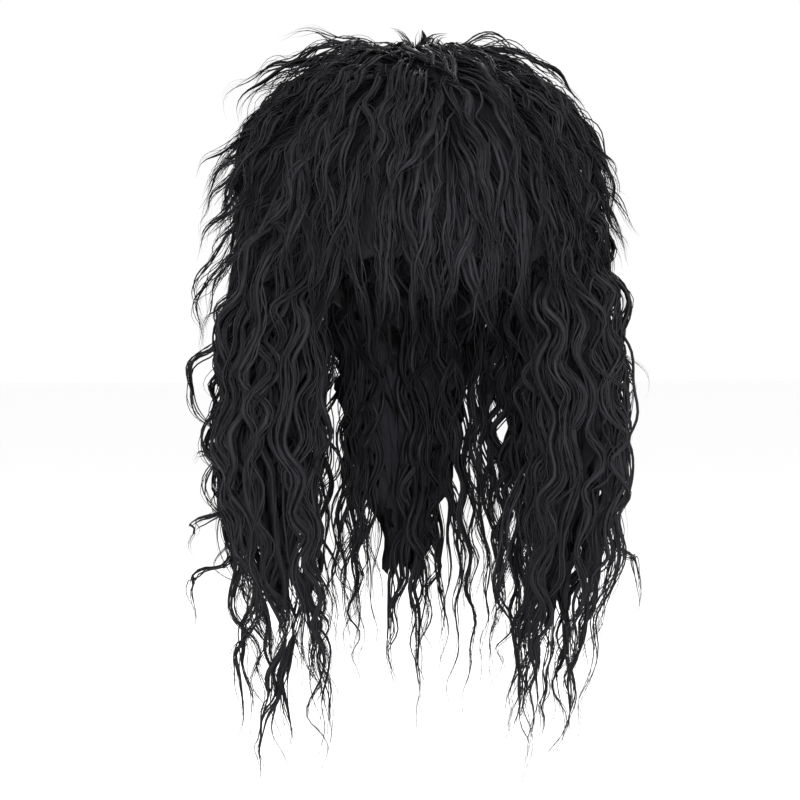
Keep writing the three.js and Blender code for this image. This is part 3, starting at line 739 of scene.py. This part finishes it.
# Locks that stand out from the outline: their size, waves and strands, and the points that they pass through,
# in millimetres
STRAY_SIZE = 5
STRAY_WAVES = {"length": 33 * MM, "swing": 2 * MM, "grows": 3, "roam": 1.5 * MM}
STRAY_STRANDS = {"Step": 4.8 * MM, "Gathered": 0.9, "Root width": 0.06}
SHORT_STRAY_AMOUNTS = (1, 3, 4)
LONG_STRAY_AMOUNTS = (2, 4, 1)
STRAYS = {
    "top_layer": (
        ((-12, 8, 5), (-47, 4, 18), (-78, 0, 22), (-103, -4, 17)),
        ((-20, 0, 5), (-56, -6, 15), (-90, -10, 4), (-115, -10, -8), (-131, -10, -22), (-130, -12, -40)),
        ((-16, 20, 5), (-50, 24, 12), (-80, 28, 0), (-104, 30, -16), (-120, 32, -36)),
        ((-14, 14, 5), (-46, 14, 16), (-72, 14, 10), (-98, 16, -6), (-118, 18, -24)),
        ((-24, -10, 5), (-52, -20, 10), (-80, -28, -4), (-102, -32, -20), (-116, -34, -42)),
        ((-10, -20, 4), (-34, -40, 11), (-56, -60, 2), (-76, -78, -16)),
        ((-50, -10, 4), (-86, -14, -2), (-108, -16, -14), (-121, -18, -30), (-125, -20, -50)),
        ((-46, 8, 6), (-80, 10, 4), (-103, 10, -6), (-117, 10, -20)),
        ((12, 10, 5), (41, 6, 18), (57, 4, 17), (68, 2, 8), (82, 0, 2)),
        ((24, 0, 5), (60, 4, 12), (84, 6, 3), (97, 4, -8), (111, 0, -26), (114, -2, -42)),
        ((20, -14, 5), (52, -24, 12), (76, -32, 0), (96, -36, -18), (108, -38, -38)),
        ((14, 30, 4), (34, 56, 12), (60, 78, 1), (80, 92, -16)),
        ((-8, 40, 4), (-20, 70, 12), (-34, 96, -1), (-44, 116, -24)),
        ((0, 6, 6), (-6, 2, 17), (-12, 0, 22), (-22, -3, 24)),
        ((3, 4, 6), (-2, -2, 18), (-1, -7, 25)),
        ((5, 2, 6), (8, -4, 17), (13, -8, 20), (20, -12, 19)),
        ((-2, 10, 6), (2, 16, 17), (7, 22, 21), (14, 30, 18)),
    ),
    "side_layer_right": (
        ((-84, -10, -34), (-112, -14, -46), (-134, -16, -56), (-147, -18, -66), (-151, -20, -82)),
        ((-92, -24, -50), (-120, -30, -64), (-138, -34, -76), (-149, -36, -100)),
        ((-90, 10, -44), (-118, 14, -54), (-138, 16, -70), (-146, 18, -92)),
        ((-100, -4, -80), (-126, -6, -96), (-143, -8, -112), (-152, -10, -132)),
        ((-100, 30, -70), (-126, 38, -86), (-140, 42, -104), (-150, 44, -128)),
        ((-96, -12, -98), (-122, -16, -112), (-141, -20, -128), (-152, -22, -154), (-149, -22, -184)),
        ((-98, 14, -108), (-124, 18, -126), (-144, 20, -146), (-151, 22, -176), (-142, 22, -204)),
        ((-90, -34, -92), (-114, -42, -112), (-134, -46, -136), (-146, -48, -166), (-148, -48, -196)),
    ),
    "side_layer_left": (
        ((84, -6, -30), (102, -8, -40), (116, -10, -52), (124, -12, -70), (127, -12, -94)),
        ((90, 12, -44), (116, 16, -56), (131, 18, -72), (138, 20, -96)),
        ((98, -22, -70), (122, -26, -84), (136, -28, -100), (147, -30, -118)),
        ((98, 26, -76), (124, 32, -92), (138, 36, -112), (146, 38, -138)),
    ),
    "long_right": (
        ((-110, -10, -150), (-133, -12, -182), (-151, -14, -199), (-156, -14, -223), (-139, -12, -247),
         (-130, -10, -274)),
        ((-112, 0, -220), (-129, -2, -250), (-146, -4, -262), (-159, -6, -280)),
        ((-110, -20, -260), (-126, -22, -292), (-146, -24, -304), (-155, -26, -318), (-150, -26, -338)),
        ((-112, 8, -300), (-129, 8, -334), (-151, 8, -345), (-156, 8, -363), (-149, 8, -392)),
        ((-92, -20, -330), (-114, -22, -370), (-126, -24, -400), (-122, -24, -430), (-126, -24, -462)),
        ((-96, 4, -320), (-112, 6, -360), (-120, 8, -395), (-114, 8, -430), (-118, 8, -474)),
        ((-90, -30, -380), (-104, -32, -420), (-111, -34, -456), (-106, -34, -500)),
        ((-74, -36, -370), (-68, -38, -410), (-64, -40, -440), (-67, -40, -466)),
        ((-84, -10, -380), (-94, -8, -420), (-88, -8, -450), (-92, -8, -474)),
    ),
    "long_left": (
        ((108, -8, -150), (124, -10, -176), (135, -12, -188), (138, -12, -205), (130, -10, -226),
         (128, -8, -250)),
        ((112, 6, -210), (130, 6, -240), (142, 6, -252), (144, 6, -270), (137, 6, -296)),
        ((110, -20, -290), (128, -22, -322), (143, -24, -335), (148, -24, -362), (137, -22, -384)),
        ((70, -50, -260), (54, -56, -294), (46, -58, -335), (45, -58, -362), (56, -54, -392)),
        ((80, -30, -370), (70, -34, -404), (64, -36, -430), (62, -36, -460)),
        ((96, -20, -370), (100, -22, -404), (102, -22, -434), (98, -22, -464)),
        ((88, -26, -370), (84, -28, -404), (80, -28, -434), (83, -28, -470)),
    ),
}


def new_material(name):
    """A material and its tree."""
    made = bpy.data.materials.new(name)
    made.use_nodes = True
    return made, made.node_tree


def finish_shader(tree, inputs):
    """Links or sets the inputs of a material's shader."""
    set_inputs(tree, tree.nodes["Principled BSDF"], inputs)


def noise(tree, place, scale, detail):
    """Soft noise, stretched by a scale for each direction."""
    stretched = result(tree, "ShaderNodeMapping", {"Vector": place, "Scale": scale})
    return result(tree, "ShaderNodeTexNoise", {"Vector": stretched, "Scale": 1, "Detail": detail})


def shaded(tree, value, dark, light, ends=(0, 1)):
    """A colour between a dark and a light one, by where a value lies between two ends."""
    ramp = add_node(tree, "ShaderNodeValToRGB", {"Fac": value})
    for stop, end, colour in zip(ramp.color_ramp.elements, ends, (dark, light)):
        stop.position = end
        stop.color = (*colour, 1)
    return ramp.outputs[0]


def bumped(tree, height, strength, distance):
    """The shading normals that a surface of this height has."""
    return result(tree, "ShaderNodeBump", {"Height": height, "Strength": strength, "Distance": distance})


def hair_material():
    """Soft black fibre. Its colour and streaks follow a strand's own chart: tone across, length along."""
    made, tree = new_material("hair_fibre")
    chart = result(tree, "ShaderNodeUVMap", uv_map="UVMap")
    across = result(tree, "ShaderNodeSeparateXYZ", {0: chart})
    streak = noise(tree, chart, (110, 5, 1), 3)
    strip = calc(tree, "FLOOR", times(tree, across, TONES))
    tone = result(tree, "ShaderNodeTexWhiteNoise", {"W": strip}, noise_dimensions="1D")
    shade = plus(tree, times(tree, tone, 0.2), streak)
    patch = noise(tree, chart, (80, 14, 1), 1)
    dullness = {"Value": patch, "From Min": 0.44, "From Max": 0.7, "To Min": 0.8, "To Max": 0.3}
    rough = result(tree, "ShaderNodeMapRange", dullness)
    core = calc(tree, "GREATER_THAN", strip, TONES - 1.5)
    finish_shader(tree, {
        "Base Color": shaded(tree, shade, (0.0042, 0.004, 0.0053), (0.0135, 0.0127, 0.0155), (0.5, 0.72)),
        "Roughness": calc(tree, "MAXIMUM", core, rough),
        "Specular IOR Level": 0.12,
        "Normal": bumped(tree, streak, 0.8, 0.5 * MM),
    })
    return made


def hand_over(piece, node):
    """Puts a finished piece in the place of its solid, on the one body."""
    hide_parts(node)
    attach(piece, "root")
    print(piece.name, sum(len(face.vertices) - 2 for face in piece.data.polygons), "triangles")


# Each hank's section, that of the hair behind the shoulder beside it, and the drop where its dark mass ends
HANKS = {
    "long_left": (lambda drop: side_section(drop, 1), lambda drop: corner_section(drop, 1), 0.74),
    "long_right": (lambda drop: side_section(drop, -1), lambda drop: corner_section(drop, -1), 0.74),
    "long_back": (back_section, None, 0.68),
}
CORE_REACH = 0.6

# Where the random draws of the locks and of their strands start, the steps to the next piece and to the next
# kind of strand, and what is added for a strand's second three numbers
SHORT_SEED = 60
LONG_SEED = 70
STRAND_SEEDS = {"short": 0, "short stray": 60, "long": 100, "corner": 130, "long stray": 160}
SEED_STEP = 11
KIND_STEP = 3
LOOK_SEED = 17


def make_hair(material):
    """Every piece of hair, each for the solid of its name."""
    tree = strand_tree()

    def swept(guides, start, number, changes=None):
        """The three kinds of strand along some guides of a piece."""
        seed = STRAND_SEEDS[start] + SEED_STEP * number
        return [
            strands(tree, guides, kind, seed + KIND_STEP * kind, material, changes or {})
            for kind in range(guides.amounts.shape[1])
            if guides.amounts[:, kind].any()
        ]

    for number, (name, piece) in enumerate(sorted(SHORT_PIECES.items())):
        rng = np.random.default_rng(SHORT_SEED + number)
        rows = [{"strands": piece["strands"], **named(SHORT_ROW, row)} for row in piece["rows"]]
        guides = short_guides(rows, piece["turns"], rng)
        if name == "top_layer":
            core = crown_core(*piece["core"], material, rng)
        else:
            core_turns = piece.get("core turns", piece["turns"])
            core = short_core(core_turns, *piece["core"], material, rng)
        parts = [core, *swept(guides, "short", number)]
        if name in STRAYS:
            guides = stray_guides(STRAYS[name], SHORT_STRAY_AMOUNTS, rng)
            parts += swept(guides, "short stray", number, STRAY_STRANDS)
        hand_over(join_meshes(f"{name}_hair", parts, material), name)

    for number, (name, (section_at, corner_at, core_end)) in enumerate(HANKS.items()):
        rng = np.random.default_rng(LONG_SEED + number)
        guides = long_guides(section_at, [named(LONG_ROW, row) for row in LONG_ROWS], rng)
        parts = [long_core(section_at, core_end, material, rng), *swept(guides, "long", number)]
        if corner_at:
            guides = long_guides(corner_at, [named(LONG_ROW, CORNER_LOCKS)], rng)
            parts += swept(guides, "corner", number)
        if name in STRAYS:
            guides = stray_guides(STRAYS[name], LONG_STRAY_AMOUNTS, rng)
            parts += swept(guides, "long stray", number, STRAY_STRANDS)
        hand_over(join_meshes(f"{name}_hair", parts, material), name)


# The cap under the hair. Its rim's depth is a share of RIM_DEPTH, by the turn in degrees from the face.
RIM = {
    "turn": (0, 40, 62, 80, 98, 125, 150, 180),
    "depth": (0.33, 0.37, 0.56, 0.76, 0.69, 0.86, 0.97, 1),
}
RIM_DEPTH = 178 * MM
BAND_HEIGHT = 14 * MM
BAND_WALL = 1 * MM
CAP_INSIDE = 1.5 * MM
CAP_WALL = 1.5 * MM
HEAD_WIDTH = 77 * MM
HEAD_DEPTH = 98 * MM
WEFT_STEP = 11 * MM
WEFTS_FROM = 20 * MM
WEFT_OUTSIDE = 0.25 * MM
WEFT_INSIDE = 0.5 * MM
BAND_RIB = 0.22 * MM
BAND_GATHER = 0.12 * MM
NET_SCALE = 620
THREADS_ROUND = 520
THREADS_ACROSS = 28


def rim_fall(turn):
    """The fall at which the cap's rim lies."""
    from_face = np.degrees(np.abs(np.arctan2(np.sin(turn), np.cos(turn))))
    depth = RIM_DEPTH * read(RIM, from_face)[0]
    crown = -WIDEST
    upper = np.arccos(np.clip((crown - depth) / crown, -1, 1)) / QUARTER
    return np.where(depth > crown, 1 + (depth - crown) / FALL_STEP, upper)


def band_fall(turn):
    """The fall of the band's top edge."""
    rim = rim_fall(turn)
    return rim - BAND_HEIGHT / np.where(rim > 1, FALL_STEP, QUARTER * -WIDEST)


def cap_point(turn, fall, offset):
    """A point at an offset from the head. The cap's inside comes down to touch the head at the top."""
    share, angle = head_share(fall)
    width = (HEAD_WIDTH + offset) * share
    depth = (HEAD_DEPTH + offset) * share
    dome = WIDEST + (offset - WIDEST) * np.cos(angle) - CAP_INSIDE * np.cos(angle) * (offset > 0)
    return round_point(turn, width, depth, fall, dome)


def cap_mesh(material):
    """A thin shell with raised rows of weft outside and inside, drawn together at the crown."""
    turn = np.linspace(0, FULL, 96, endpoint=False)[None]
    share = np.linspace(0.004, 1, 44)[:, None]
    fall = share * rim_fall(turn)
    way = fall * QUARTER * -WIDEST
    weft = np.clip(np.sin(way / WEFT_STEP * FULL) * 2 - 1, 0, 1) * smooth((way - WEFTS_FROM) / (8 * MM))
    edge = 1 - smooth((share - 0.93) / 0.06)
    outside = cap_point(turn, fall, CAP_INSIDE + CAP_WALL - WEFT_OUTSIDE * (1 - weft) * edge)
    inside = cap_point(turn, fall, CAP_INSIDE + WEFT_INSIDE * (1 - weft) * edge)
    return loft_mesh("cap", np.concatenate([outside, inside[::-1]]), material)


def band_mesh(material):
    """A ribbed elastic strip sewn inside the rim."""
    turn = np.linspace(0, FULL, 160, endpoint=False)[:, None]
    share = np.concatenate([np.linspace(0, 1, 10), np.linspace(1, 0, 10)])[None]
    rib = BAND_RIB * np.abs(np.sin(share * math.pi * 4.5)) * np.sin(share * math.pi) ** 0.3
    gather = BAND_GATHER * np.sin(turn * 120)
    inner = (np.arange(20) >= 10)[None]
    offset = np.where(inner, 0.35 * MM - rib - gather, BAND_WALL - 0.2 * MM + rib + gather)
    fall = mix(rim_fall(turn), band_fall(turn), share)
    return ring_mesh("band", cap_point(turn + 0 * share, fall, np.maximum(offset, 0.02 * MM)), material)


def ring_mesh(name, points, material):
    """A closed ring through loops of points that follow each other round."""
    loops, sides = points.shape[:2]
    index = np.arange(loops * sides).reshape(loops, sides)
    after = np.roll(index, -1, axis=0)
    faces = np.stack([index, np.roll(index, -1, axis=1), np.roll(after, -1, axis=1), after], axis=-1)
    data = bpy.data.meshes.new(name)
    data.from_pydata(points.reshape(-1, 3).tolist(), [], faces.reshape(-1, 4).tolist())
    uv = data.uv_layers.new(name="UVMap")
    around, across = np.divmod(np.arange(loops * sides), sides)
    corners = ((0, 0), (0, 1), (1, 1), (1, 0))
    chart = np.stack(
        [np.stack([(around + i) / loops, (across + j) / sides], axis=-1) for i, j in corners],
        axis=1,
    )
    uv.data.foreach_set("uv", chart.ravel())
    data.shade_smooth()
    work = bmesh.new()
    work.from_mesh(data)
    bmesh.ops.recalc_face_normals(work, faces=work.faces)
    work.to_mesh(data)
    work.free()
    data.materials.append(material)
    return data


def net_material():
    """Black cap net: a fine mesh of thread, matt and a little uneven in shade."""
    made, tree = new_material("net_thread")
    place = add_node(tree, "ShaderNodeTexCoord").outputs["Object"]
    mesh = {"Vector": place, "Scale": NET_SCALE}
    cells = result(tree, "ShaderNodeTexVoronoi", mesh, feature="DISTANCE_TO_EDGE")
    edges = {"Value": cells, "From Max": 0.2, "To Min": 1, "To Max": 0}
    thread = result(tree, "ShaderNodeMapRange", edges)
    worn = result(tree, "ShaderNodeTexNoise", {"Vector": place, "Scale": 40, "Detail": 3})
    shade = plus(tree, times(tree, thread, 0.7), times(tree, worn, 0.4))
    finish_shader(tree, {
        "Base Color": shaded(tree, shade, (0.004, 0.004, 0.0045), (0.03, 0.03, 0.032)),
        "Roughness": 0.8,
        "Specular IOR Level": 0.2,
        "Normal": bumped(tree, thread, 0.6, 0.2 * MM),
    })
    return made


def elastic_material():
    """Black woven elastic: ribs along the band and fine threads across it."""
    made, tree = new_material("woven_elastic")
    chart = result(tree, "ShaderNodeUVMap", uv_map="UVMap")
    parts = add_node(tree, "ShaderNodeSeparateXYZ", {0: chart}).outputs
    across = calc(tree, "SINE", times(tree, parts[0], THREADS_ROUND * FULL))
    along = calc(tree, "SINE", times(tree, parts[1], THREADS_ACROSS * FULL))
    weave = calc(tree, "MULTIPLY_ADD", times(tree, across, along), 0.5, 0.5)
    rough = result(tree, "ShaderNodeMapRange", {"Value": weave, "To Min": 0.6, "To Max": 0.8})
    finish_shader(tree, {
        "Base Color": shaded(tree, weave, (0.006, 0.006, 0.007), (0.028, 0.028, 0.03)),
        "Roughness": rough,
        "Specular IOR Level": 0.25,
        "Normal": bumped(tree, weave, 0.5, 0.2 * MM),
    })
    return made


def make_cap():
    """The cap and the elastic band at its rim."""
    for name, slot, build, material in (
        ("cap_dome", "cap_net", cap_mesh, net_material()),
        ("edge_band", "elastic_band", band_mesh, elastic_material()),
    ):
        hand_over(add_object(f"{name}_cloth", build(material)), name)


FLOOR_REACH = 12
FLOOR_BELOW_TIPS = 60 * MM


def make_stage():
    """A plain pale floor, a little below the tips, under a white sky."""
    data = bpy.data.meshes.new("floor")
    level = HANG_END - FLOOR_BELOW_TIPS
    corners = [(x * FLOOR_REACH, y * FLOOR_REACH, level) for x, y in ((-1, -1), (1, -1), (1, 1), (-1, 1))]
    data.from_pydata(corners, [], [(0, 1, 2, 3)])
    floor = add_object("floor", data)
    pale, tree = new_material("pale floor")
    finish_shader(tree, {"Base Color": (0.97, 0.97, 0.97, 1), "Roughness": 0.9})
    data.materials.append(pale)
    world = bpy.data.worlds.new("studio")
    bpy.context.scene.world = world
    world.use_nodes = True
    sky = {"Color": (1, 1, 1, 1), "Strength": 1.0}
    set_inputs(world.node_tree, world.node_tree.nodes["Background"], sky)


# Soft square lights: place, size in metres and power
LIGHTS = {
    "key": ((-0.7, -1.1, 1.0), 0.8, 17),
    "fill": ((1.2, -0.9, 0.4), 0.9, 12),
    "front": ((-0.2, -1.9, 0), 0.6, 30),
    "rim": ((0.3, 1.2, 1.0), 0.8, 16),
}
LIT_MIDDLE = Vector((0, 0, -0.2))


def make_lights():
    """The lights, all turned to the middle of the wig."""
    for name, (place, size, power) in LIGHTS.items():
        data = bpy.data.lights.new(name, "AREA")
        data.size = size
        data.energy = power
        made = add_object(name, data)
        made.location = place
        made.rotation_mode = "QUATERNION"
        made.rotation_quaternion = (Vector(place) - LIT_MIDDLE).to_track_quat("Z", "Y")


# The photograph's view
VIEW_TURN = math.radians(-6)
VIEW_RISE = math.radians(2)
VIEW_DISTANCE = 1.6
VIEW_SPAN = 0.544
VIEW_CENTRE = Vector((-0.0136, 0, -0.226))


def make_camera():
    """The camera, at the photograph's angle and framing."""
    data = bpy.data.cameras.new("camera")
    data.lens = data.sensor_width * VIEW_DISTANCE / VIEW_SPAN
    camera = add_object("camera", data)
    back = Vector((
        math.sin(VIEW_TURN) * math.cos(VIEW_RISE),
        -math.cos(VIEW_TURN) * math.cos(VIEW_RISE),
        math.sin(VIEW_RISE),
    ))
    camera.location = VIEW_CENTRE + back * VIEW_DISTANCE
    camera.rotation_mode = "QUATERNION"
    camera.rotation_quaternion = back.to_track_quat("Z", "Y")
    bpy.context.scene.camera = camera


make_hair(hair_material())
make_cap()
make_stage()
make_camera()
make_lights()
bpy.context.scene.view_settings.view_transform = "Standard"
